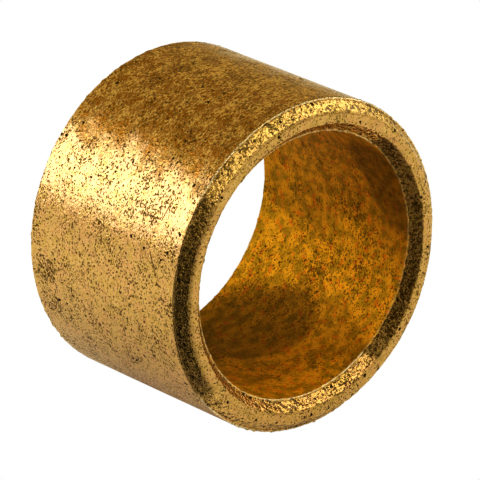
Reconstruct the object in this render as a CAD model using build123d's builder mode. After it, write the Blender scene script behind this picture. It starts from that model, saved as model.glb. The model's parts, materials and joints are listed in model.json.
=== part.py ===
"""Plain sleeve bushing, pressed and sintered from bronze powder, in one piece.

The bushing lies on its round side with its bore along Y. The origin is the middle of the bore,
and +Z is up. All sizes are millimetres.
"""

import os
from math import atan2, tan

from build123d import *

# Driving dimensions: a half inch bore in a sixteenth inch wall, seven sixteenths of an inch long.
# The outside diameter that follows is the five eighths inch bore of the housing.
bore_diameter = 12.7
wall = 1.5875
length = 11.1125

# Each end is chamfered outside and in the bore. The punches that press the ends have no feather
# edge, so a narrow flat land is left between each chamfer and its cylinder.
land_width = 0.12
outer_chamfer_width = 0.42
outer_chamfer_depth = 0.52
bore_chamfer_width = 0.42
bore_chamfer_depth = 0.52

# Tumbling rounds the two crests, where the chamfers meet the flat end face.
crest_radius = 0.32
# A crest takes at most this share of the end face, so that some of the face stays flat.
crest_share = 0.35

bore_radius = bore_diameter / 2
outer_radius = bore_radius + wall
half_length = length / 2

# The end face is what the lands and the chamfers leave of the wall.
face_inner_radius = bore_radius + land_width + bore_chamfer_width
face_outer_radius = outer_radius - land_width - outer_chamfer_width
face_width = face_outer_radius - face_inner_radius

# A rounded corner takes radius * tan(turn / 2) of the face, and the steeper chamfer turns more.
steeper_turn = max(
    atan2(outer_chamfer_depth, outer_chamfer_width),
    atan2(bore_chamfer_depth, bore_chamfer_width),
)
crest_limit = crest_share * face_width / tan(steeper_turn / 2)
crest_round = min(crest_radius, crest_limit)

with BuildPart() as sleeve:
    # One half of the wall's section, mirrored to the other end and revolved about the bore's axis.
    with BuildSketch(Plane.XY) as wall_section:
        with BuildLine() as outline:
            Polyline(
                (bore_radius, 0),
                (bore_radius, half_length - bore_chamfer_depth),
                (bore_radius + land_width, half_length - bore_chamfer_depth),
                (face_inner_radius, half_length),
                (face_outer_radius, half_length),
                (outer_radius - land_width, half_length - outer_chamfer_depth),
                (outer_radius, half_length - outer_chamfer_depth),
                (outer_radius, 0),
                close=True,
            )
        make_face()
        crests = wall_section.vertices().group_by(Axis.Y)[-1]
        fillet(crests, radius=crest_round)
        mirror(about=Plane.XZ)
    revolve(axis=Axis.Y)
sleeve.part.label = "sleeve"

os.makedirs("parts", exist_ok=True)
export_step(sleeve.part, "parts/sleeve.step")

print(f"sleeve: {sleeve.part.volume:.1f} mm3, end face {face_width:.2f} mm, crest {crest_round:.2f} mm")
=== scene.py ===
"""A pressed and sintered bronze sleeve bushing, lying on a light table, ready to be looked at.

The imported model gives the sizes. The ring that is seen is modelled on its outline, roughened as
pressed powder is, and dressed in a porous bronze that differs outside, on the ends and in the bore.
Lengths in the classes are millimetres, and SCENE_UNIT turns them into the scene's metres. A turn is
in degrees from the lowest line of the ring, and the near end is at negative Y.
"""

import json
import logging
import math
from dataclasses import dataclass
from enum import Enum
from typing import Any, Dict, FrozenSet, List, Set, Tuple, Union

import bpy
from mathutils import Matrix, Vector


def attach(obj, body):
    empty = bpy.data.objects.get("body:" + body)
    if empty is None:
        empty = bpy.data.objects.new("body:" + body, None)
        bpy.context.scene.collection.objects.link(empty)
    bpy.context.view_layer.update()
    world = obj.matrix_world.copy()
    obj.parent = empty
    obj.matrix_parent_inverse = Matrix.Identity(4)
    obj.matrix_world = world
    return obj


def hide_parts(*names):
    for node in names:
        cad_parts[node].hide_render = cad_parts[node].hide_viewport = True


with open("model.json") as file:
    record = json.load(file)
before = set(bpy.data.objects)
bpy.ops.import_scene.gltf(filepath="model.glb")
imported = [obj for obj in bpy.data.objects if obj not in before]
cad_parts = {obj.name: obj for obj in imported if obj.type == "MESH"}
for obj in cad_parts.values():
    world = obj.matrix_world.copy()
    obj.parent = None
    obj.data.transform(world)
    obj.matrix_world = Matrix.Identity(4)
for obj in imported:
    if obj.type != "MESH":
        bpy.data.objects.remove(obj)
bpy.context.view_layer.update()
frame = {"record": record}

SCENE_UNIT = 0.001
FULL_TURN = 2 * math.pi
EQUAL_CORNER = FULL_TURN / 6
MERGE_DISTANCE = SCENE_UNIT * 0.001
NOISE_MIDDLE = 0.5
LOG = logging.getLogger("bushing")

Colour = Tuple[float, float, float]
Place = Tuple[float, float, float]
Point = Tuple[float, float]

WHITE: Colour = (1.0, 1.0, 1.0)
UMBER: Colour = (0.17, 0.095, 0.003)
SOOT: Colour = (0.050, 0.027, 0.003)
CARD_COLOUR: Colour = (0.018, 0.014, 0.004)


class Value:
    """A number socket that can stand in a Python expression."""

    def __init__(self, kit: "NodeKit", socket: bpy.types.NodeSocket) -> None:
        self.kit = kit
        self.socket = socket

    def _math(self, operation: str, first: "Source", second: "Source") -> "Value":
        """Add a Math node on two sources.

        Args:
            operation: the Math node's operation.
            first: its first input.
            second: its second input.

        Returns:
            The node's result.
        """
        node = self.kit.node("ShaderNodeMath", {"operation": operation}, {0: first, 1: second})
        return Value(self.kit, node.outputs[0])

    def __add__(self, other: "Source") -> "Value":
        """Return the sum."""
        return self._math("ADD", self, other)

    def __radd__(self, other: "Source") -> "Value":
        """Return the sum, with this value second."""
        return self._math("ADD", other, self)

    def __sub__(self, other: "Source") -> "Value":
        """Return the difference."""
        return self._math("SUBTRACT", self, other)

    def __rsub__(self, other: "Source") -> "Value":
        """Return the difference, with this value second."""
        return self._math("SUBTRACT", other, self)

    def __mul__(self, other: "Source") -> "Value":
        """Return the product."""
        return self._math("MULTIPLY", self, other)

    def __rmul__(self, other: "Source") -> "Value":
        """Return the product, with this value second."""
        return self._math("MULTIPLY", other, self)

    def __pow__(self, other: "Source") -> "Value":
        """Return this value raised to a power."""
        return self._math("POWER", self, other)

    def __abs__(self) -> "Value":
        """Return the size of this value without its sign."""
        return self._math("ABSOLUTE", self, 0.0)


Source = Union[Value, bpy.types.NodeSocket, float, Tuple[float, ...]]


class NodeKit:
    """Adds the nodes of one shader tree."""

    def __init__(self, tree: bpy.types.NodeTree) -> None:
        """Empty the tree and keep it."""
        self.tree = tree
        tree.nodes.clear()

    def node(self, kind: str, settings: Dict[str, Any], inputs: Dict[Any, Source]) -> bpy.types.Node:
        """Add one node.

        Args:
            kind: the node's type name.
            settings: its settings, set before its sockets.
            inputs: the value or the link of each socket, by name or number.

        Returns:
            The node.
        """
        node = self.tree.nodes.new(kind)
        for name, setting in settings.items():
            setattr(node, name, setting)
        for name, source in inputs.items():
            if isinstance(source, Value):
                source = source.socket
            if isinstance(source, bpy.types.NodeSocket):
                self.tree.links.new(source, node.inputs[name])
            else:
                node.inputs[name].default_value = source
        return node

    def step(self, value: Source, low: float, high: float) -> Value:
        """Turn a value into a soft mask.

        Args:
            value: the value.
            low: where the mask is 0.
            high: where the mask is 1, which may be the lower of the two.

        Returns:
            The mask, with a smooth rise between the two.
        """
        node = self.node(
            "ShaderNodeMapRange",
            {"interpolation_type": "SMOOTHSTEP"},
            {"Value": value, "From Min": low, "From Max": high},
        )
        return Value(self, node.outputs[0])

    def blend(self, share: Source, first: Source, second: Source) -> bpy.types.NodeSocket:
        """Return a colour between two colours.

        Args:
            share: the share of the second colour.
            first: the colour where the share is 0.
            second: the colour where the share is 1.

        Returns:
            The mixed colour's socket.
        """
        first, second = (
            (*colour, 1.0) if isinstance(colour, tuple) else colour for colour in (first, second)
        )
        node = self.node("ShaderNodeMix", {"data_type": "RGBA"}, {0: share, 6: first, 7: second})
        return node.outputs[2]

    def vector(self, operation: str, first: Source, second: Source) -> bpy.types.NodeSocket:
        """Combine two vectors, or a vector and a scale.

        Args:
            operation: the Vector Math node's operation.
            first: the first vector.
            second: the second vector, or the scale of a SCALE.

        Returns:
            The result's socket.
        """
        inputs = {0: first, 3 if operation == "SCALE" else 1: second}
        return self.node("ShaderNodeVectorMath", {"operation": operation}, inputs).outputs[0]

    def distance(self, first: Source, second: Source) -> Value:
        """Return the distance between two places."""
        node = self.node("ShaderNodeVectorMath", {"operation": "DISTANCE"}, {0: first, 1: second})
        return Value(self, node.outputs["Value"])

    def cells(self, place: Source, size: float) -> Tuple[Value, bpy.types.NodeSocket]:
        """Return the distance from the middle of the nearest random cell, and that cell's own colour."""
        node = self.node("ShaderNodeTexVoronoi", {}, {"Vector": place, "Scale": 1 / size})
        return Value(self, node.outputs["Distance"]), node.outputs["Color"]


@dataclass(frozen=True)
class Rise:
    """Where a soft mask begins and where it is full. It falls if it is full at the lower value."""

    begin: float
    full: float

    def mask(self, kit: NodeKit, value: Source, base: float = 0.0) -> Value:
        """Return the mask of a value.

        Args:
            kit: the shader's nodes.
            value: the value that the mask follows.
            base: where the two limits are measured from.

        Returns:
            The mask.
        """
        return kit.step(value, base + self.begin, base + self.full)


@dataclass(frozen=True)
class Noise:
    """One kind of unevenness: the size of its lumps, and how much and how strong its finer detail is."""

    size: float
    detail: float = 3.0
    roughness: float = 0.5

    def add(self, kit: NodeKit, place: Source) -> bpy.types.Node:
        """Add the noise's node.

        Args:
            kit: the shader's nodes.
            place: the coordinates, in millimetres.

        Returns:
            The node.
        """
        inputs = {
            "Vector": place,
            "Scale": 1 / self.size,
            "Detail": self.detail,
            "Roughness": self.roughness,
        }
        return kit.node("ShaderNodeTexNoise", {}, inputs)

    def at(self, kit: NodeKit, place: Source) -> Value:
        """Return the noise at a place, from about 0.2 to 0.8."""
        return Value(kit, self.add(kit, place).outputs[0])

    def around(self, kit: NodeKit, place: Source) -> Value:
        """Return the noise at a place, from about -0.3 to 0.3."""
        return self.at(kit, place) - NOISE_MIDDLE


@dataclass(frozen=True)
class Patches:
    """Soft patches that follow a noise."""

    noise: Noise
    rise: Rise

    def mask(self, kit: NodeKit, place: Source, lift: Source = 0.0) -> Value:
        """Return the patches' mask.

        Args:
            kit: the shader's nodes.
            place: the coordinates, in millimetres.
            lift: a number added to the noise.

        Returns:
            1 in the patches and 0 between them.
        """
        return self.rise.mask(kit, self.noise.at(kit, place) + lift)


@dataclass(frozen=True)
class Tint:
    """A colour laid over another one, at most by its share."""

    colour: Colour
    share: float = 1.0

    def cover(self, kit: NodeKit, below: Source, mask: Value) -> bpy.types.NodeSocket:
        """Return the colour below with this one over it where the mask is 1."""
        return kit.blend(mask * self.share, below, self.colour)

    def glaze(self, kit: NodeKit, below: Source, mask: Value) -> bpy.types.NodeSocket:
        """Return the colour below, multiplied by this one where the mask is 1."""
        return kit.blend(mask * self.share, below, kit.vector("MULTIPLY", below, self.colour))


@dataclass(frozen=True)
class PoreLayer:
    """One size of pore: dark specks, each in its own random cell.

    Share is how many of the cells hold a pore, and least is the smallest pore's part of the width.
    """

    spacing: float
    width: float
    softness: float
    share: float
    least: float = 0.5
    fade: float = 0.05

    def mask(self, kit: NodeKit, place: Source, crowding: Source) -> Value:
        """Return 1 inside the pores and 0 between them.

        Args:
            kit: the shader's nodes.
            place: the coordinates, in millimetres.
            crowding: a number that is high where the pores are crowded.

        Returns:
            The mask.
        """
        distance, cell = kit.cells(place, self.spacing)
        draws = kit.node("ShaderNodeSeparateColor", {}, {0: cell})
        chance, size = (Value(kit, draws.outputs[index]) for index in (0, 1))
        present = kit.step(chance + crowding, 1 - self.share, 1 - self.share + self.fade)
        radius = self.width / 2 / self.spacing
        edge = self.softness / self.spacing
        reach = radius * (self.least + size)
        return kit.step(reach - distance, -edge, edge) * present


@dataclass(frozen=True)
class Spot:
    """A round patch on a cylinder, at a turn from the lowest line and a distance along the axis.

    Core is the share of its reach in which it is full.
    """

    turn: float
    along: float
    reach: float
    core: float = 0.5

    def place(self, radius: float) -> Place:
        """Return the spot's middle on a cylinder of that radius."""
        turn = math.radians(self.turn)
        return (-radius * math.sin(turn), self.along, -radius * math.cos(turn))

    def mask(self, kit: NodeKit, place: Source, radius: float) -> Value:
        """Return 1 at the spot's middle, falling softly to 0 at its reach.

        Args:
            kit: the shader's nodes.
            place: the coordinates, in millimetres.
            radius: the cylinder's radius.

        Returns:
            The mask.
        """
        return kit.step(kit.distance(place, self.place(radius)), self.reach, self.reach * self.core)


@dataclass(frozen=True)
class Scratch:
    """A fine straight scratch on a cylinder between the middles of two spots, as wide as their reach."""

    start: Spot
    end: Spot
    core: float = 0.4

    def mask(self, kit: NodeKit, place: Source, radius: float) -> Value:
        """Return 1 in the scratch and 0 beside it.

        Args:
            kit: the shader's nodes.
            place: the coordinates, in millimetres.
            radius: the cylinder's radius.

        Returns:
            The mask.
        """
        start = Vector(self.start.place(radius))
        run = Vector(self.end.place(radius)) - start
        offset = kit.vector("SUBTRACT", place, tuple(start))
        inputs = {0: offset, 1: tuple(run / run.length_squared)}
        share = kit.node("ShaderNodeVectorMath", {"operation": "DOT_PRODUCT"}, inputs).outputs["Value"]
        share = kit.node("ShaderNodeClamp", {}, {"Value": share}).outputs[0]
        nearest = kit.vector("SCALE", tuple(run), share)
        return kit.step(kit.distance(offset, nearest), self.start.reach, self.start.reach * self.core)


@dataclass(frozen=True)
class Blemishes:
    """Several spots or scratches of one kind, on one cylinder."""

    marks: Tuple[Union[Spot, Scratch], ...]

    def mask(self, kit: NodeKit, place: Source, radius: float) -> Value:
        """Return 1 in any of the blemishes and 0 away from them.

        Args:
            kit: the shader's nodes.
            place: the coordinates, in millimetres.
            radius: the cylinder's radius.

        Returns:
            The mask.
        """
        total, *others = (mark.mask(kit, place, radius) for mark in self.marks)
        for other in others:
            total = total + other
        return kit.step(total, 0.0, 1.0)


@dataclass(frozen=True)
class Places:
    """The coordinates that the finish follows, and the numbers worked out from them.

    Ragged is warped a little, drawn and stroked are squeezed along the axis, along is the distance
    from the middle of the length, and height is measured upwards, tilted a little to the left, where the
    outside is painted darker as shade.
    """

    plain: bpy.types.NodeSocket
    ragged: bpy.types.NodeSocket
    drawn: bpy.types.NodeSocket
    stroked: bpy.types.NodeSocket
    along: Value
    radius: Value
    height: Value


@dataclass(frozen=True)
class Coordinates:
    """How the finish's coordinates are bent, squeezed and tilted."""

    wander: Noise = Noise(0.11, 1.0)
    wander_reach: float = 0.13
    drawing: float = 1.35
    stroking: float = 1.6
    # How far the painted shade on the top leans to the left.
    top_shade_tilt: float = math.radians(15)

    def find(self, kit: NodeKit) -> Places:
        """Find the coordinates on the piece.

        Args:
            kit: the shader's nodes.

        Returns:
            The coordinates.
        """
        metres = kit.node("ShaderNodeTexCoord", {}, {}).outputs["Object"]
        plain = kit.vector("SCALE", metres, 1 / SCENE_UNIT)
        wander = self.wander.add(kit, plain).outputs["Color"]
        wander = kit.vector("SUBTRACT", wander, (NOISE_MIDDLE,) * 3)
        axes = kit.node("ShaderNodeSeparateXYZ", {}, {0: plain})
        x, y, z = (Value(kit, socket) for socket in axes.outputs)
        return Places(
            plain=plain,
            ragged=kit.vector("ADD", plain, kit.vector("SCALE", wander, self.wander_reach)),
            drawn=kit.vector("MULTIPLY", plain, (1.0, self.drawing, 1.0)),
            stroked=kit.vector("MULTIPLY", plain, (1.0, self.stroking, 1.0)),
            along=abs(y),
            radius=(x * x + z * z) ** 0.5,
            height=z * math.cos(self.top_shade_tilt) - x * math.sin(self.top_shade_tilt),
        )


@dataclass(frozen=True)
class Zones:
    """Masks of the ring's surfaces, each 1 on its own surface."""

    face: Value
    slopes: Value
    # Painted shade in the corners at the chamfers' feet.
    foot_corner_shade: Value
    inside: Value
    bore: Value
    outside: Value
    bead: Value
    # Where the painted shade on the outer chamfer may lie.
    chamfer_shade_zone: Value


@dataclass(frozen=True)
class Borders:
    """Where the ring's surfaces begin.

    The ends, the shaded corners at the chamfers' feet, the beads and the painted shade on the chamfers are
    measured along the axis from the foot of the chamfer, and the faces from the end. The rims are measured
    outwards from the outside or from the middle of the wall.
    """

    ends: Rise = Rise(-0.01, 0.01)
    faces: Rise = Rise(-0.07, -0.015)
    inside: Rise = Rise(0.01, -0.01)
    # Where the painted shade in the corners at the chamfers' feet lies.
    foot_corner_shade: Rise = Rise(0.06, 0.02)
    foot_corner_shade_rim: Rise = Rise(-0.06, -0.10)
    bead_start: Rise = Rise(-0.10, -0.03)
    bead_end: Rise = Rise(0.03, 0.01)
    bead_rim: Rise = Rise(0.70, 0.74)
    # Where the painted shade on the chamfers lies.
    chamfer_shade: Rise = Rise(-0.08, -0.03)
    chamfer_shade_rim: Rise = Rise(-0.80, -0.46)

    def find(self, kit: NodeKit, places: Places, sleeve: "Sleeve") -> Zones:
        """Find the ring's surfaces.

        Args:
            kit: the shader's nodes.
            places: the coordinates.
            sleeve: the sleeve whose sizes place the borders.

        Returns:
            The surfaces' masks.
        """
        along, radius = places.along, places.radius
        ends = self.ends.mask(kit, along, sleeve.foot)
        face = self.faces.mask(kit, along, sleeve.half_length)
        inside = self.inside.mask(kit, radius, sleeve.middle_radius)
        bore = inside * (1 - ends)
        foot_corner_shade = self.foot_corner_shade.mask(kit, along, sleeve.foot) * ends
        bead = self.bead_start.mask(kit, along, sleeve.foot) * self.bead_end.mask(kit, along, sleeve.foot)
        chamfer_shade_zone = self.chamfer_shade.mask(kit, along, sleeve.foot)
        return Zones(
            face=face,
            slopes=ends * (1 - face),
            foot_corner_shade=foot_corner_shade * self.foot_corner_shade_rim.mask(kit, radius, sleeve.outer_radius),
            inside=inside,
            bore=bore,
            outside=(1 - ends) * (1 - bore),
            bead=bead * self.bead_rim.mask(kit, abs(radius - sleeve.middle_radius)),
            chamfer_shade_zone=chamfer_shade_zone * self.chamfer_shade_rim.mask(kit, radius, sleeve.outer_radius),
        )


@dataclass(frozen=True)
class Skin:
    """Noise and masks of what pressing, time and dirt have left on the ring, and of the painted shade and
    light on it.
    """

    grain: Value
    coarse: Value
    # Painted shade on the top of the outside.
    tarnished: Value
    pore: Value
    pinhole: Value
    marks: Value
    # Raised specks, painted lighter as glints.
    sparks: Value
    # Painted shade on the chamfers: its patches in the bore, on the outside, and both together.
    bore_chamfer_shade: Value
    outer_chamfer_shade: Value
    chamfer_shade: Value
    hole: Value
    scored: Value


@dataclass(frozen=True)
class Wear:
    """The grain, pores, marks, scratches and painted shade, and where the clearest of them are."""

    grain: Noise = Noise(0.14, 2.0, 0.6)
    coarse: Noise = Noise(0.20, 2.0, 0.6)
    crowds: Noise = Noise(1.5)
    stain_crowding: float = 0.20
    cluster_crowding: float = 0.11
    pores: PoreLayer = PoreLayer(spacing=0.42, width=0.115, softness=0.012, share=0.50)
    pore_crowding: float = 0.8
    pores_closed_in_bore: float = 0.6
    pinholes: PoreLayer = PoreLayer(spacing=0.175, width=0.080, softness=0.018, share=0.70)
    pinhole_crowding: float = 1.2
    pinholes_closed_in_bore: float = 0.5
    fine_marks: Patches = Patches(Noise(0.10, 1.0), Rise(0.390, 0.356))
    broad_marks: Patches = Patches(Noise(0.19, 2.0, 0.6), Rise(0.355, 0.33))
    mark_crowding: float = 0.3
    marks_lost_in_bore: float = 0.25
    marks_lost_on_face: float = 0.2
    strokes: Noise = Noise(0.16, 3.0, 0.7)
    stroke_groups: Noise = Noise(0.7, 2.0)
    stroke_grouping: float = 0.35
    spark: Rise = Rise(0.50, 0.61)
    sparks_lost_in_bore: float = 0.8
    # Painted shade: the top of the outside, tilted a little to the left, is darkened.
    top_shade_height: Rise = Rise(6.3, 7.4)
    top_shade_drift: Noise = Noise(0.9)
    top_shade_reach: float = 2.4
    # How dark the painted shade on the chamfers is.
    bore_chamfer_shade_share: float = 0.75
    outer_chamfer_shade_share: float = 0.56
    stains: Blemishes = Blemishes(
        (
            Spot(84.5, 4.0, 1.0),
            Spot(72.0, 4.0, 0.9),
            Spot(127.0, 3.3, 1.0),
            Spot(62.0, -1.0, 0.9),
            Spot(230.0, 1.5, 1.3),
            Spot(310.0, -2.0, 1.1),
        )
    )
    clusters: Blemishes = Blemishes(
        (
            Spot(311.0, 1.2, 2.4),
            Spot(300.0, -1.6, 1.8),
            Spot(268.0, -1.0, 1.6),
        )
    )
    # Painted shade: dark patches on the bore's chamfer at the near end, from its upper right to its lower
    # right.
    bore_chamfer_shade: Blemishes = Blemishes(
        (
            Spot(228.0, -5.4, 1.5),
            Spot(240.0, -5.4, 1.6),
            Spot(254.0, -5.4, 1.7),
            Spot(268.0, -5.4, 1.6),
            Spot(282.0, -5.4, 1.5),
            Spot(296.0, -5.4, 1.4),
            Spot(308.0, -5.4, 1.25),
            Spot(320.0, -5.4, 0.95),
        )
    )
    # Painted shade: dark patches on the left of the outer chamfer at the near end.
    outer_chamfer_shade: Blemishes = Blemishes(
        (
            Spot(64.0, -5.3, 1.9),
            Spot(78.0, -5.3, 1.9),
            Spot(92.0, -5.3, 1.9),
            Spot(106.0, -5.3, 1.9),
            Spot(119.0, -5.3, 1.7),
        )
    )
    holes: Blemishes = Blemishes(
        (
            Spot(139.5, 1.10, 0.09),
            Spot(134.8, -2.31, 0.07),
            Spot(146.8, -3.77, 0.07),
            Spot(104.1, -0.34, 0.07),
            Spot(88.1, -1.36, 0.09),
            Spot(250.0, 0.60, 0.09),
        )
    )
    scratches: Blemishes = Blemishes(
        (
            Scratch(Spot(116.4, -1.83, 0.045), Spot(116.9, -3.18, 0.045)),
            Scratch(Spot(105.6, -3.14, 0.050), Spot(98.9, -3.77, 0.050)),
            Scratch(Spot(144.0, -2.42, 0.070), Spot(145.5, -2.66, 0.070)),
            Scratch(Spot(116.8, -3.32, 0.040), Spot(123.4, -3.47, 0.040)),
            Scratch(Spot(205.0, 2.80, 0.045), Spot(214.0, 1.60, 0.045)),
            Scratch(Spot(285.0, -0.50, 0.050), Spot(287.0, 1.40, 0.050)),
        )
    )

    def find(self, kit: NodeKit, places: Places, zones: Zones, sleeve: "Sleeve") -> Skin:
        """Find what has been left on the ring.

        Args:
            kit: the shader's nodes.
            places: the coordinates.
            zones: the surfaces' masks.
            sleeve: the sleeve whose sizes place the blemishes.

        Returns:
            The noise and masks.
        """
        plain, ragged, outer = places.plain, places.ragged, sleeve.outer_radius
        crowding = self._crowding(kit, places, zones, sleeve)
        pore = self.pores.mask(kit, ragged, crowding * self.pore_crowding)
        pinhole = self.pinholes.mask(kit, ragged, crowding * self.pinhole_crowding)
        drift = self.top_shade_drift.around(kit, plain) * self.top_shade_reach
        bore_chamfer_shade = self.bore_chamfer_shade.mask(kit, ragged, sleeve.bore_radius)
        outer_chamfer_shade = self.outer_chamfer_shade.mask(kit, ragged, outer)
        # Painted shade on the chamfers at the near end.
        chamfer_shade = zones.slopes * zones.inside * bore_chamfer_shade * self.bore_chamfer_shade_share
        return Skin(
            grain=self.grain.at(kit, places.drawn),
            coarse=self.coarse.at(kit, plain),
            tarnished=self.top_shade_height.mask(kit, places.height + drift) * zones.outside,
            pore=pore * (1 - zones.bore * self.pores_closed_in_bore),
            pinhole=pinhole * (1 - zones.bore * self.pinholes_closed_in_bore),
            marks=self._marks(kit, places, zones, crowding),
            sparks=self._sparks(kit, places, zones),
            bore_chamfer_shade=bore_chamfer_shade,
            outer_chamfer_shade=outer_chamfer_shade,
            chamfer_shade=chamfer_shade + zones.chamfer_shade_zone * outer_chamfer_shade * self.outer_chamfer_shade_share,
            hole=self.holes.mask(kit, ragged, outer),
            scored=self.scratches.mask(kit, plain, outer),
        )

    def _crowding(self, kit: NodeKit, places: Places, zones: Zones, sleeve: "Sleeve") -> Value:
        """Find where pores and marks are crowded.

        Args:
            kit: the shader's nodes.
            places: the coordinates.
            zones: the surfaces' masks.
            sleeve: the sleeve whose sizes place the stains.

        Returns:
            A number that is high where they are crowded.
        """
        crowding = self.crowds.around(kit, places.plain)
        stained = self.stains.mask(kit, places.ragged, sleeve.outer_radius)
        clustered = self.clusters.mask(kit, places.ragged, sleeve.bore_radius) * zones.bore
        return crowding + stained * self.stain_crowding + clustered * self.cluster_crowding

    def _marks(self, kit: NodeKit, places: Places, zones: Zones, crowding: Value) -> Value:
        """Find the small dark marks.

        Args:
            kit: the shader's nodes.
            places: the coordinates.
            zones: the surfaces' masks.
            crowding: a number that is high where the marks are crowded.

        Returns:
            Their mask.
        """
        crowd = crowding * -self.mark_crowding
        fine = self.fine_marks.mask(kit, places.drawn, crowd)
        broad = self.broad_marks.mask(kit, places.plain, crowd)
        marks = fine + broad - fine * broad
        marks = marks * (1 - zones.bore * self.marks_lost_in_bore)
        return marks * (1 - zones.face * self.marks_lost_on_face)

    def _sparks(self, kit: NodeKit, places: Places, zones: Zones) -> Value:
        """Find the raised specks, which are painted lighter as glints, most of all in the painted shade on
        the top.

        Args:
            kit: the shader's nodes.
            places: the coordinates.
            zones: the surfaces' masks.

        Returns:
            Their mask.
        """
        groups = self.stroke_groups.around(kit, places.plain) * self.stroke_grouping
        sparks = self.spark.mask(kit, self.strokes.at(kit, places.stroked) + groups)
        return sparks * (1 - zones.bore * self.sparks_lost_in_bore) * (1 - zones.slopes)


@dataclass(frozen=True)
class Heights:
    """How far each thing stands up or sinks in, in millimetres."""

    grain: float = 0.022
    grain_lost_in_bore: float = 0.012
    grain_lost_on_face: float = 0.004
    coarse: float = 0.09
    coarse_on_bead: float = 0.5
    pore: float = 0.02
    pinhole: float = 0.010
    mark: float = 0.012
    fleck: float = 0.020
    hole: float = 0.03
    scratch: float = 0.015
    bore_waves: Noise = Noise(0.34, 2.0)
    bore_wave: float = 0.05

    def find(self, kit: NodeKit, places: Places, zones: Zones, skin: Skin) -> Value:
        """Find the height of the skin, for a Bump node.

        Args:
            kit: the shader's nodes.
            places: the coordinates.
            zones: the surfaces' masks.
            skin: what is on the surfaces.

        Returns:
            The height.
        """
        fine = self.grain - zones.bore * self.grain_lost_in_bore - zones.face * self.grain_lost_on_face
        height = skin.grain * fine
        height = height + skin.coarse * (zones.slopes + zones.bead * self.coarse_on_bead) * self.coarse
        height = height - skin.pore * self.pore - skin.pinhole * self.pinhole - skin.marks * self.mark
        height = height + skin.sparks * skin.tarnished * self.fleck
        height = height - (skin.hole * self.hole + skin.scored * self.scratch) * zones.outside
        return height + self.bore_waves.at(kit, places.plain) * zones.bore * self.bore_wave


@dataclass(frozen=True)
class Gloss:
    """How rough and how metallic the skin is, and how much of it has a thin film of oil."""

    roughness: float = 0.24
    bore_roughness: float = 0.33
    pore_roughness: float = 0.3
    mark_roughness: float = 0.18
    fleck_roughness: float = 0.25
    bead_polish: float = 0.08
    bore_dullness: float = 0.35
    specular: float = 0.2
    oil: float = 0.45
    oil_roughness: float = 0.25
    oil_index: float = 1.8
    oil_lost_in_marks: float = 0.8
    oil_lost_on_slopes: float = 0.8

    def rough(self, zones: Zones, skin: Skin) -> Value:
        """Work out how rough the skin is.

        Args:
            zones: the surfaces' masks.
            skin: what is on the surfaces.

        Returns:
            The roughness.
        """
        rough = self.roughness + zones.bore * self.bore_roughness + skin.pore * self.pore_roughness
        rough = rough + skin.marks * self.mark_roughness
        return rough + skin.sparks * skin.tarnished * self.fleck_roughness - zones.bead * self.bead_polish

    def oiled(self, zones: Zones, skin: Skin) -> Value:
        """Work out how much oil there is, with none in the bore, on what is dull or open, or under painted
        shade.

        Args:
            zones: the surfaces' masks.
            skin: what is on the surfaces.

        Returns:
            The oil film's share.
        """
        clean = (1 - zones.bore) * (1 - skin.scored) * (1 - skin.marks * self.oil_lost_in_marks)
        clean = clean * (1 - skin.tarnished) * (1 - skin.pore) * (1 - skin.pinhole) * (1 - skin.chamfer_shade)
        return clean * (1 - zones.slopes * self.oil_lost_on_slopes) * self.oil


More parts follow.
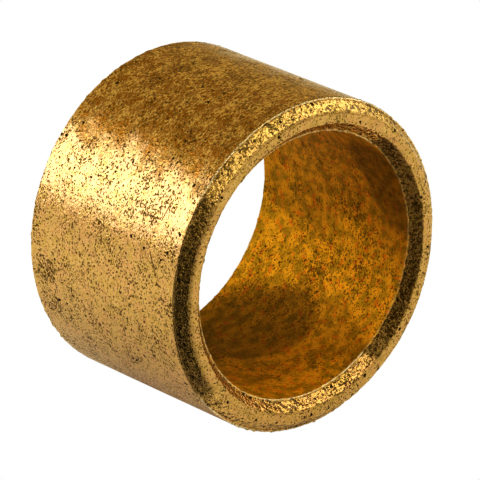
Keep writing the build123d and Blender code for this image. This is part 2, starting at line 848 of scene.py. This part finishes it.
@dataclass(frozen=True)
class SinteredBronze:
    """The finish of pressed, sintered and oiled bronze powder.

    The sizing die has spread the outside smooth, so it is smoother and brighter than the ends, where the
    grains still stand up. Oil darkens the bore. Some tints are painted shade and light: the top of the
    outside, patches on the chamfers and in the bore and the corners at the chamfers' feet are darkened as
    shade, and the edge beads, the outer chamfers, specks and pools in the bore are lightened as highlight,
    sheen, glints and light. The tints are laid on in the order given here.
    """

    coordinates: Coordinates = Coordinates()
    borders: Borders = Borders()
    wear: Wear = Wear()
    heights: Heights = Heights()
    gloss: Gloss = Gloss()

    gold: Colour = (0.87, 0.600, 0.220)
    copper: Colour = (0.89, 0.575, 0.235)
    copper_patches: Patches = Patches(Noise(0.8), Rise(0.44, 0.58))
    olive: Tint = Tint((0.80, 0.560, 0.150), 0.8)
    olive_patches: Patches = Patches(Noise(0.45), Rise(0.46, 0.66))
    pale: Tint = Tint((0.98, 0.735, 0.330), 0.6)
    pale_grains: Rise = Rise(0.50, 0.64)
    shadow: Tint = Tint(UMBER, 0.16)
    mottle: Noise = Noise(0.36)
    shadow_mottle: Rise = Rise(0.48, 0.34)
    # Painted shade: the reddish brown that darkens the top of the outside.
    tarnish: Tint = Tint((0.56, 0.26, 0.010))
    top_shade_least: float = 0.55
    top_shade_mottle: Rise = Rise(0.60, 0.40)
    top_shade_mottling: float = 0.35

    amber: Colour = (0.80, 0.445, 0.014)
    moss: Colour = (0.48, 0.285, 0.005)
    moss_patches: Patches = Patches(Noise(0.50, 2.0), Rise(0.64, 0.34))
    rust: Tint = Tint((0.76, 0.23, 0.005), 0.6)
    rust_patches: Patches = Patches(Noise(0.32, 2.0), Rise(0.56, 0.68))
    # Painted shade: darker patches in the bore, on its right side.
    bore_shade_tint: Tint = Tint((0.45, 0.43, 0.40), 0.75)
    bore_shade_patches: Blemishes = Blemishes(
        (
            Spot(341.0, 2.0, 3.6),
            Spot(330.0, 0.5, 2.6),
            Spot(254.0, -4.8, 2.7),
            Spot(241.0, -4.0, 2.4),
        )
    )
    # Painted light: pools in the lower half of the bore, most near its mouths, lightened and whitened.
    bore_light_tint: Tint = Tint((1.30, 1.38, 1.80), 0.8)
    bore_light_pools: Blemishes = Blemishes(
        (
            Spot(352.0, -4.8, 2.6),
            Spot(14.0, -4.8, 2.8),
            Spot(33.0, -4.8, 2.4),
            Spot(302.0, -4.8, 2.6),
            Spot(294.0, 4.8, 2.2),
            Spot(308.0, 5.0, 2.0),
            Spot(291.0, -1.5, 2.8),
            Spot(299.0, 2.4, 2.4),
        )
    )

    mark: Tint = Tint(UMBER, 0.95)
    # Painted sheen: the outer chamfers are lightened all round.
    outer_chamfer_sheen: Tint = Tint((0.88, 0.66, 0.24), 0.4)
    shade: Tint = Tint((0.80, 0.80, 0.74), 0.7)
    hollow: Tint = Tint(SOOT, 0.75)
    hollows: Rise = Rise(0.46, 0.39)
    # Painted glints: specks lighter than the metal, most of all on the painted shade of the top.
    fleck: Tint = Tint((0.98, 0.72, 0.24))
    glint_least: float = 0.06
    glint_on_top_shade: float = 0.8
    # The edge beads are polished, and painted paler as a highlight, in dashes.
    bead_highlight: Tint = Tint((1.00, 0.88, 0.58))
    bead_highlight_least: float = 0.5
    bead_highlight_dashes: Patches = Patches(Noise(0.16, 1.0), Rise(0.42, 0.55))
    bead_highlight_lost_in_outer_shade: float = 0.9
    bead_highlight_lost_in_bore_shade: float = 0.7
    # Painted shade in the corners at the chamfers' feet.
    foot_corner_shade: Tint = Tint(SOOT, 0.15)
    pinhole: Tint = Tint(UMBER, 0.9)
    pore: Tint = Tint(SOOT)
    # The colour of the painted shade on the chamfers.
    chamfer_shade_tint: Tint = Tint((0.085, 0.048, 0.002))
    hole: Tint = Tint(SOOT)
    scratch_darkness: float = 0.6

    def make(self, name: str, sleeve: "Sleeve") -> bpy.types.Material:
        """Build the material for one sleeve.

        Args:
            name: the material's name.
            sleeve: the sleeve whose sizes place the finishes.

        Returns:
            The material.
        """
        material = bpy.data.materials.new(name)
        material.use_nodes = True
        kit = NodeKit(material.node_tree)
        places = self.coordinates.find(kit)
        zones = self.borders.find(kit, places, sleeve)
        skin = self.wear.find(kit, places, zones, sleeve)
        height = self.heights.find(kit, places, zones, skin)
        bump = kit.node("ShaderNodeBump", {}, {"Height": height, "Distance": SCENE_UNIT, "Strength": 1.0})
        inputs = {
            "Base Color": self._colour(kit, places, zones, skin, sleeve),
            "Metallic": 1.0 - zones.bore * self.gloss.bore_dullness,
            "Roughness": self.gloss.rough(zones, skin),
            "Specular IOR Level": self.gloss.specular,
            "Coat Weight": self.gloss.oiled(zones, skin),
            "Coat Roughness": self.gloss.oil_roughness,
            "Coat IOR": self.gloss.oil_index,
            "Normal": bump.outputs[0],
        }
        shader = kit.node("ShaderNodeBsdfPrincipled", {}, inputs)
        kit.node("ShaderNodeOutputMaterial", {}, {"Surface": shader.outputs[0]})
        return material

    def _colour(
        self, kit: NodeKit, places: Places, zones: Zones, skin: Skin, sleeve: "Sleeve"
    ) -> bpy.types.NodeSocket:
        """Lay every tint over the metal.

        Args:
            kit: the shader's nodes.
            places: the coordinates.
            zones: the surfaces' masks.
            skin: what is on the surfaces.
            sleeve: the sleeve whose sizes place the painted shade and light in the bore.

        Returns:
            The colour's socket.
        """
        outer = self._outer_metal(kit, places, skin)
        colour = kit.blend(zones.bore, outer, self._bore_metal(kit, places, sleeve))
        colour = self.mark.cover(kit, colour, skin.marks)
        # Painted sheen on the outer chamfers.
        colour = self.outer_chamfer_sheen.cover(kit, colour, zones.slopes * (1 - zones.inside))
        colour = self.shade.glaze(kit, colour, zones.face)
        colour = self.hollow.cover(kit, colour, self.hollows.mask(kit, skin.coarse) * zones.slopes)
        # Painted glints on the raised specks.
        glints = skin.sparks * (self.glint_least + skin.tarnished * self.glint_on_top_shade)
        colour = self.fleck.cover(kit, colour, glints)
        # Painted highlight on the polished edge beads, kept off the painted shade on the chamfers.
        dashes = self.bead_highlight_least + self.bead_highlight_dashes.mask(kit, places.plain) * (1 - self.bead_highlight_least)
        highlighted = zones.bead * dashes * (1 - skin.outer_chamfer_shade * self.bead_highlight_lost_in_outer_shade)
        highlighted = highlighted * (1 - skin.bore_chamfer_shade * zones.inside * self.bead_highlight_lost_in_bore_shade)
        colour = self.bead_highlight.cover(kit, colour, highlighted)
        # Painted shade in the corners at the chamfers' feet.
        colour = self.foot_corner_shade.cover(kit, colour, zones.foot_corner_shade)
        colour = self.pinhole.cover(kit, colour, skin.pinhole)
        colour = self.pore.cover(kit, colour, skin.pore)
        # Painted shade on the chamfers.
        colour = self.chamfer_shade_tint.cover(kit, colour, skin.chamfer_shade)
        broken = (skin.hole + skin.scored * self.scratch_darkness) * zones.outside
        return self.hole.cover(kit, colour, broken)

    def _outer_metal(self, kit: NodeKit, places: Places, skin: Skin) -> bpy.types.NodeSocket:
        """Colour the metal outside and on the ends, with the painted shade on its top.

        Args:
            kit: the shader's nodes.
            places: the coordinates.
            skin: what is on the surfaces.

        Returns:
            The colour's socket.
        """
        colour = kit.blend(self.copper_patches.mask(kit, places.plain), self.gold, self.copper)
        colour = self.olive.cover(kit, colour, self.olive_patches.mask(kit, places.drawn))
        colour = self.pale.cover(kit, colour, self.pale_grains.mask(kit, skin.grain))
        mottle = self.mottle.at(kit, places.plain)
        colour = self.shadow.cover(kit, colour, self.shadow_mottle.mask(kit, mottle))
        # Painted shade on the top of the outside.
        depth = self.top_shade_least + self.top_shade_mottle.mask(kit, mottle) * self.top_shade_mottling
        return self.tarnish.cover(kit, colour, skin.tarnished * depth)

    def _bore_metal(self, kit: NodeKit, places: Places, sleeve: "Sleeve") -> bpy.types.NodeSocket:
        """Colour the oiled metal in the bore, with patches of painted shade and pools of painted light.

        Args:
            kit: the shader's nodes.
            places: the coordinates.
            sleeve: the sleeve whose sizes place the painted shade and light.

        Returns:
            The colour's socket.
        """
        colour = kit.blend(self.moss_patches.mask(kit, places.plain), self.amber, self.moss)
        colour = self.rust.cover(kit, colour, self.rust_patches.mask(kit, places.plain))
        # Painted shade in patches.
        bore_shaded = self.bore_shade_patches.mask(kit, places.ragged, sleeve.bore_radius)
        colour = self.bore_shade_tint.glaze(kit, colour, bore_shaded)
        # Painted light in pools.
        pooled_light = self.bore_light_pools.mask(kit, places.ragged, sleeve.bore_radius)
        return self.bore_light_tint.glaze(kit, colour, pooled_light)


class Pattern(Enum):
    """The patterns that a relief can follow."""

    CLOUDS = "CLOUDS"
    CELLS = "VORONOI"


class Part(Enum):
    """The parts of the ring that a relief can be kept to."""

    ALL = ""
    ENDS = "ends"
    LIPS = "lips"


@dataclass(frozen=True)
class Relief:
    """One layer of unevenness, pressed into a surface along its normals.

    Sizes are in millimetres. Stops turn the pattern's value into a share of the depth, and middle is
    the value that leaves the surface where it is.
    """

    name: str
    pattern: Pattern
    size: float
    depth: float
    stops: Tuple[Tuple[float, float], ...] = ()
    part: Part = Part.ALL
    middle: float = 0.5

    def apply(self, piece: bpy.types.Object) -> None:
        """Press this relief into a piece's mesh.

        Args:
            piece: the piece, in object mode, which is also the active object.
        """
        texture = bpy.data.textures.new(self.name, self.pattern.value)
        texture.noise_scale = self.size * SCENE_UNIT
        if self.stops:
            texture.use_color_ramp = True
            self._set_stops(texture.color_ramp)
        modifier = piece.modifiers.new(self.name, "DISPLACE")
        modifier.texture = texture
        modifier.texture_coords = "LOCAL"
        modifier.mid_level = self.middle
        modifier.strength = -self.depth * SCENE_UNIT
        modifier.vertex_group = self.part.value
        bpy.ops.object.modifier_apply(modifier=self.name)
        bpy.data.textures.remove(texture)

    def _set_stops(self, ramp: bpy.types.ColorRamp) -> None:
        """Give a ramp the stops of this relief.

        Args:
            ramp: the ramp, which starts with two stops.
        """
        while len(ramp.elements) < len(self.stops):
            ramp.elements.new(1.0)
        for element, (place, share) in zip(ramp.elements, self.stops):
            element.position = place
            element.color = (share, share, share, 1.0)


@dataclass
class Sleeve:
    """The bushing itself: one ring with its bore along Y, its middle at the origin."""

    bore_radius: float
    outer_radius: float
    half_length: float
    land_width: float = 0.12
    chamfer_width: float = 0.42
    chamfer_depth: float = 0.52
    crest_radius: float = 0.32
    crest_parts: int = 5
    edge_radius: float = 0.03
    edge_parts: int = 1
    bead_radius: float = 0.090
    bead_parts: int = 4
    pitch: float = 0.125
    rim_pitch: float = 0.07
    rim_lead: float = 0.045
    turns: int = 416
    reliefs: Tuple[Relief, ...] = (
        Relief("swell", Pattern.CLOUDS, size=2.5, depth=0.012),
        Relief("lumps", Pattern.CLOUDS, size=0.30, depth=0.006),
        Relief(
            "pits",
            Pattern.CELLS,
            size=0.80,
            depth=0.05,
            stops=((0.0, 1.0), (0.10, 0.6), (0.18, 0.0)),
            middle=0.0,
        ),
        Relief("coarse_grain", Pattern.CLOUDS, size=0.22, depth=0.05, part=Part.ENDS),
        Relief(
            "burr",
            Pattern.CELLS,
            size=0.34,
            depth=-0.05,
            stops=((0.0, 1.0), (0.16, 0.7), (0.30, 0.0)),
            part=Part.LIPS,
            middle=0.0,
        ),
    )

    @property
    def middle_radius(self) -> float:
        """The radius of the middle of the wall."""
        return (self.bore_radius + self.outer_radius) / 2

    @property
    def foot(self) -> float:
        """The distance of the chamfers' feet from the middle of the length."""
        return self.half_length - self.chamfer_depth

    @staticmethod
    def _round_corner(before: Point, corner: Point, after: Point, radius: float, parts: int) -> List[Point]:
        """Replace a corner with an arc.

        Args:
            before: the point before the corner.
            corner: the corner.
            after: the point after the corner.
            radius: the arc's radius.
            parts: how many straight parts the arc has.

        Returns:
            The arc's points.
        """
        middle = Vector(corner)
        first = (Vector(before) - middle).normalized()
        second = (Vector(after) - middle).normalized()
        half = first.angle(second) / 2
        centre = middle + (first + second).normalized() * radius / math.sin(half)
        start = middle + first * radius / math.tan(half) - centre
        end = middle + second * radius / math.tan(half) - centre
        turn = start.angle(end)
        points = []
        for part in range(parts + 1):
            share = part / parts
            arm = (start * math.sin((1 - share) * turn) + end * math.sin(share * turn)) / math.sin(turn)
            points.append(tuple(centre + arm))
        return points

    def _section(self) -> List[Point]:
        """Return the half section's outline, from the middle of the outside round to the bore."""
        outer_land = self.outer_radius - self.land_width
        bore_land = self.bore_radius + self.land_width
        corners = [
            (self.outer_radius, 0.0),
            (self.outer_radius, self.foot),
            (outer_land, self.foot),
            (outer_land - self.chamfer_width, self.half_length),
            (bore_land + self.chamfer_width, self.half_length),
            (bore_land, self.foot),
            (self.bore_radius, self.foot),
            (self.bore_radius, 0.0),
        ]
        rounding = [
            (self.bead_radius, self.bead_parts),
            (self.edge_radius, self.edge_parts),
            (self.crest_radius, self.crest_parts),
        ]
        rounding += rounding[::-1]
        points = [corners[0]]
        for index, (radius, parts) in enumerate(rounding, start=1):
            before, corner, after = corners[index - 1 : index + 2]
            points += self._round_corner(before, corner, after, radius, parts)
        points.append(corners[-1])
        return points

    def build(self, name: str) -> bpy.types.Object:
        """Model the ring.

        Args:
            name: the object's name.

        Returns:
            The ring, with its place in its mesh.
        """
        outline = self._section()
        bpy.ops.object.select_all(action="DESELECT")
        bpy.ops.mesh.primitive_plane_add(size=self.pitch * SCENE_UNIT)
        ring = bpy.context.object
        ring.name = ring.data.name = name
        bpy.ops.object.mode_set(mode="EDIT")
        bpy.ops.mesh.merge(type="CENTER")
        bpy.ops.transform.translate(value=Vector((*outline[0], 0.0)) * SCENE_UNIT)
        for before, after in zip(outline, outline[1:]):
            step = Vector((after[0] - before[0], after[1] - before[1], 0.0)) * SCENE_UNIT
            bpy.ops.mesh.extrude_region_move(TRANSFORM_OT_translate={"value": step})
        bpy.ops.object.mode_set(mode="OBJECT")
        self._divide(ring.data)
        self._mirror_and_spin()
        bpy.ops.object.mode_set(mode="OBJECT")
        bpy.ops.object.shade_smooth()
        self._roughen(ring)
        return ring

    def _plan_cuts(self, mesh: bpy.types.Mesh) -> Dict[int, Set[FrozenSet[int]]]:
        """Work out how often each edge of the outline has to be cut.

        Args:
            mesh: the outline.

        Returns:
            For each number of cuts, the edges that get it, as pairs of vertex numbers.
        """
        rim_start = (self.foot - self.rim_lead) * SCENE_UNIT
        plan: Dict[int, Set[FrozenSet[int]]] = {}
        for edge in mesh.edges:
            ends = [mesh.vertices[index].co for index in edge.vertices]
            on_rim = min(end.y for end in ends) > rim_start
            pitch = self.rim_pitch if on_rim else self.pitch
            cuts = round((ends[0] - ends[1]).length / (pitch * SCENE_UNIT)) - 1
            if cuts > 0:
                plan.setdefault(cuts, set()).add(frozenset(edge.vertices))
        return plan

    def _divide(self, mesh: bpy.types.Mesh) -> None:
        """Divide the outline's long stretches, the rims more finely than the cylinders.

        Args:
            mesh: the outline, which starts in object mode and ends in edit mode.
        """
        for cuts, wanted in self._plan_cuts(mesh).items():
            bpy.ops.object.mode_set(mode="EDIT")
            bpy.ops.mesh.select_all(action="DESELECT")
            bpy.ops.mesh.select_mode(type="EDGE")
            bpy.ops.object.mode_set(mode="OBJECT")
            for edge in mesh.edges:
                edge.select = frozenset(edge.vertices) in wanted
            bpy.ops.object.mode_set(mode="EDIT")
            bpy.ops.mesh.subdivide(number_cuts=cuts)
            bpy.ops.object.mode_set(mode="OBJECT")
        bpy.ops.object.mode_set(mode="EDIT")

    def _mirror_and_spin(self) -> None:
        """Copy the half outline to the other end, then spin the whole outline round the bore."""
        bpy.ops.mesh.select_all(action="SELECT")
        bpy.ops.mesh.duplicate()
        bpy.ops.transform.resize(value=(1, -1, 1), center_override=(0, 0, 0))
        bpy.ops.mesh.select_all(action="SELECT")
        bpy.ops.mesh.remove_doubles(threshold=MERGE_DISTANCE)
        bpy.ops.mesh.spin(steps=self.turns, angle=FULL_TURN, center=(0, 0, 0), axis=(0, 1, 0))
        bpy.ops.mesh.select_all(action="SELECT")
        bpy.ops.mesh.remove_doubles(threshold=MERGE_DISTANCE)
        bpy.ops.mesh.normals_make_consistent(inside=False)

    def _roughen(self, ring: bpy.types.Object) -> None:
        """Give the smooth ring the uneven skin of pressed powder.

        Args:
            ring: the ring, in object mode.
        """
        start = (self.foot - self.bead_radius) * SCENE_UNIT
        end = start + 2 * self.bead_radius * SCENE_UNIT
        rim = self.outer_radius - self.middle_radius - self.bead_radius
        on_ends, on_lips = [], []
        for vertex in ring.data.vertices:
            along = abs(vertex.co.y)
            radius = Vector((vertex.co.x, vertex.co.z)).length / SCENE_UNIT
            if along > start:
                on_ends.append(vertex.index)
                if along < end and abs(radius - self.middle_radius) > rim:
                    on_lips.append(vertex.index)
        for part, indices in ((Part.ENDS, on_ends), (Part.LIPS, on_lips)):
            ring.vertex_groups.new(name=part.value).add(indices, 1.0, "REPLACE")
        for relief in self.reliefs:
            relief.apply(ring)


def direction(azimuth: float, elevation: float) -> Vector:
    """Return a direction from its azimuth from the front, to the right, and its elevation, in degrees."""
    turn, lift = math.radians(azimuth), math.radians(elevation)
    return Vector((math.sin(turn) * math.cos(lift), -math.cos(turn) * math.cos(lift), math.sin(lift)))


@dataclass(frozen=True)
class Lamp:
    """A soft rectangular lamp that points at the bushing.

    The angles are in degrees, the lengths in millimetres and the radiant power in watts.
    """

    name: str
    azimuth: float
    elevation: float
    away: float
    size: Point
    power: float
    tint: Colour = WHITE

    def add(self) -> None:
        """Add the lamp."""
        toward = direction(self.azimuth, self.elevation)
        data = bpy.data.lights.new(self.name, "AREA")
        data.shape = "RECTANGLE"
        data.size, data.size_y = (side * SCENE_UNIT for side in self.size)
        data.energy = self.power
        data.color = self.tint
        lamp = bpy.data.objects.new(self.name, data)
        bpy.context.scene.collection.objects.link(lamp)
        lamp.location = toward * self.away * SCENE_UNIT
        lamp.rotation_euler = toward.to_track_quat("Z", "Y").to_euler()


@dataclass(frozen=True)
class Camera:
    """The camera: its direction in degrees, its distance and lens, and what it aims at."""

    azimuth: float = -41.22
    elevation: float = 21.776
    distance: float = 227.685
    lens: float = 369.95
    nearest: float = 10.0
    aim_right: float = 0.3303
    aim_down: float = 0.2248

    def add(self) -> None:
        """Add the camera and make it the scene's own."""
        back = direction(self.azimuth, self.elevation)
        right = Vector((-back.y, back.x, 0.0)).normalized()
        aim = right * self.aim_right - back.cross(right) * self.aim_down
        data = bpy.data.cameras.new("camera")
        data.lens = self.lens
        data.clip_start = self.nearest * SCENE_UNIT
        camera = bpy.data.objects.new("camera", data)
        bpy.context.scene.collection.objects.link(camera)
        camera.location = (aim + back * self.distance) * SCENE_UNIT
        camera.rotation_euler = back.to_track_quat("Z", "Y").to_euler()
        bpy.context.scene.camera = camera


@dataclass(frozen=True)
class Sheet:
    """A wide level sheet: how far it is below the floor, its own glow, and how white it is."""

    name: str
    sunk: float
    glow: float
    white: float
    width: float = 3000.0
    roughness: float = 0.9

    def add(self, floor_height: float) -> bpy.types.Object:
        """Add the sheet.

        Args:
            floor_height: the height of the floor.

        Returns:
            The sheet.
        """
        bpy.ops.object.select_all(action="DESELECT")
        place = (0, 0, (floor_height - self.sunk) * SCENE_UNIT)
        bpy.ops.mesh.primitive_plane_add(size=self.width * SCENE_UNIT, location=place)
        sheet = bpy.context.object
        sheet.name = self.name
        material = bpy.data.materials.new(self.name)
        material.use_nodes = True
        kit = NodeKit(material.node_tree)
        inputs = {
            "Base Color": (self.white, self.white, self.white, 1.0),
            "Roughness": self.roughness,
            "Specular IOR Level": 0.0,
            "Emission Color": (*WHITE, 1.0),
            "Emission Strength": self.glow,
        }
        shader = kit.node("ShaderNodeBsdfPrincipled", {}, inputs)
        kit.node("ShaderNodeOutputMaterial", {}, {"Surface": shader.outputs[0]})
        sheet.data.materials.append(material)
        return sheet


def darken(card: bpy.types.Object, name: str) -> None:
    """Make an object dark, and hide it from all but reflections, as a card that shades bright metal.

    Args:
        card: the object.
        name: its name.
    """
    card.name = name
    card.visible_camera = card.visible_diffuse = card.visible_shadow = False
    material = bpy.data.materials.new(name)
    material.use_nodes = True
    kit = NodeKit(material.node_tree)
    shader = kit.node("ShaderNodeEmission", {}, {"Color": (*CARD_COLOUR, 1.0)})
    kit.node("ShaderNodeOutputMaterial", {}, {"Surface": shader.outputs[0]})
    card.data.materials.append(material)


@dataclass(frozen=True)
class DarkCard:
    """A dark card that stands beside the sleeve and faces it, and that only reflections see."""

    name: str = "dark_card"
    azimuth: float = -58.0
    elevation: float = 4.0
    away: float = 90.0
    size: Point = (56.0, 60.0)

    def add(self) -> None:
        """Add the card."""
        toward = direction(self.azimuth, self.elevation)
        bpy.ops.object.select_all(action="DESELECT")
        turn = (toward * -1).to_track_quat("Z", "Y").to_euler()
        place = toward * self.away * SCENE_UNIT
        bpy.ops.mesh.primitive_plane_add(size=SCENE_UNIT, location=place, rotation=turn)
        card = bpy.context.object
        card.scale = (*self.size, 1.0)
        darken(card, self.name)


@dataclass(frozen=True)
class DarkWedge:
    """A dark three-cornered card that lies on the table, with one corner towards the sleeve.

    It opens in the direction of its azimuth. Reach is two thirds of its length.
    """

    name: str = "dark_wedge"
    azimuth: float = -66.0
    tip: Point = (-6.0, -5.8)
    thickness: float = 0.02
    half_angle: float = 27.0
    reach: float = 60.0

    def add(self, floor_height: float) -> None:
        """Add the wedge on the floor.

        Args:
            floor_height: the height of the floor.
        """
        bpy.ops.object.select_all(action="DESELECT")
        tip = Vector((*self.tip, floor_height + self.thickness))
        bpy.ops.mesh.primitive_circle_add(
            vertices=3,
            radius=self.reach * SCENE_UNIT,
            fill_type="NGON",
            location=(tip + direction(self.azimuth, 0.0) * self.reach) * SCENE_UNIT,
            rotation=(0.0, 0.0, math.radians(self.azimuth)),
        )
        wedge = bpy.context.object
        wedge.scale.x = math.tan(math.radians(self.half_angle)) / math.tan(EQUAL_CORNER / 2)
        darken(wedge, self.name)


@dataclass(frozen=True)
class Studio:
    """The light table, the lamps, the dark cards, the room and the camera."""

    camera: Camera = Camera()
    lamps: Tuple[Lamp, ...] = (
        Lamp("left_lamp", -141, 25.4, 220, (112, 152), 0.107, (0.97, 1.0, 1.32)),
        Lamp("right_lamp", 29, 49, 300, (700, 270), 0.64),
        Lamp("side_lamp", 88, 26, 300, (180, 200), 0.10),
    )
    card: DarkCard = DarkCard()
    wedge: DarkWedge = DarkWedge()
    light_table: Sheet = Sheet("light_table", sunk=0.02, glow=1.0, white=0.0)
    paper: Sheet = Sheet("table_paper", sunk=0.0, glow=0.12, white=0.88)
    room: Colour = (0.49, 0.41, 0.20)
    gamma: float = 0.7

    def build(self, floor_height: float) -> None:
        """Set up everything round the bushing.

        Args:
            floor_height: the height of the floor.
        """
        self.camera.add()
        for lamp in self.lamps:
            lamp.add()
        self.card.add()
        self.wedge.add(floor_height)
        table = self.light_table.add(floor_height)
        table.visible_glossy = table.visible_diffuse = table.visible_shadow = False
        paper = self.paper.add(floor_height)
        paper.visible_camera = False
        world = bpy.data.worlds.new("room")
        bpy.context.scene.world = world
        world.use_nodes = True
        world.node_tree.nodes["Background"].inputs[0].default_value = (*self.room, 1.0)
        view = bpy.context.scene.view_settings
        view.view_transform = "Standard"
        view.gamma = self.gamma


def main() -> None:
    """Build the bushing and its studio, and report each piece."""
    logging.basicConfig(level=logging.INFO, format="%(name)s: %(message)s")
    mounts = {mount["name"]: mount for mount in frame["record"]["mounts"]}
    sleeve = Sleeve(
        bore_radius=mounts["bore"]["dims"]["r_mm"],
        outer_radius=mounts["outside_diameter"]["dims"]["r_mm"],
        half_length=mounts["end_face_back"]["pos_m"][1] / SCENE_UNIT,
    )
    ring = sleeve.build("porous_sleeve")
    ring.data.materials.append(SinteredBronze().make("sintered_bronze_finish", sleeve))
    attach(ring, "root")
    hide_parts("sleeve")
    LOG.info("%s: %d faces", ring.name, len(ring.data.polygons))
    Studio().build(floor_height=-sleeve.outer_radius)


if __name__ == "__main__":
    main()
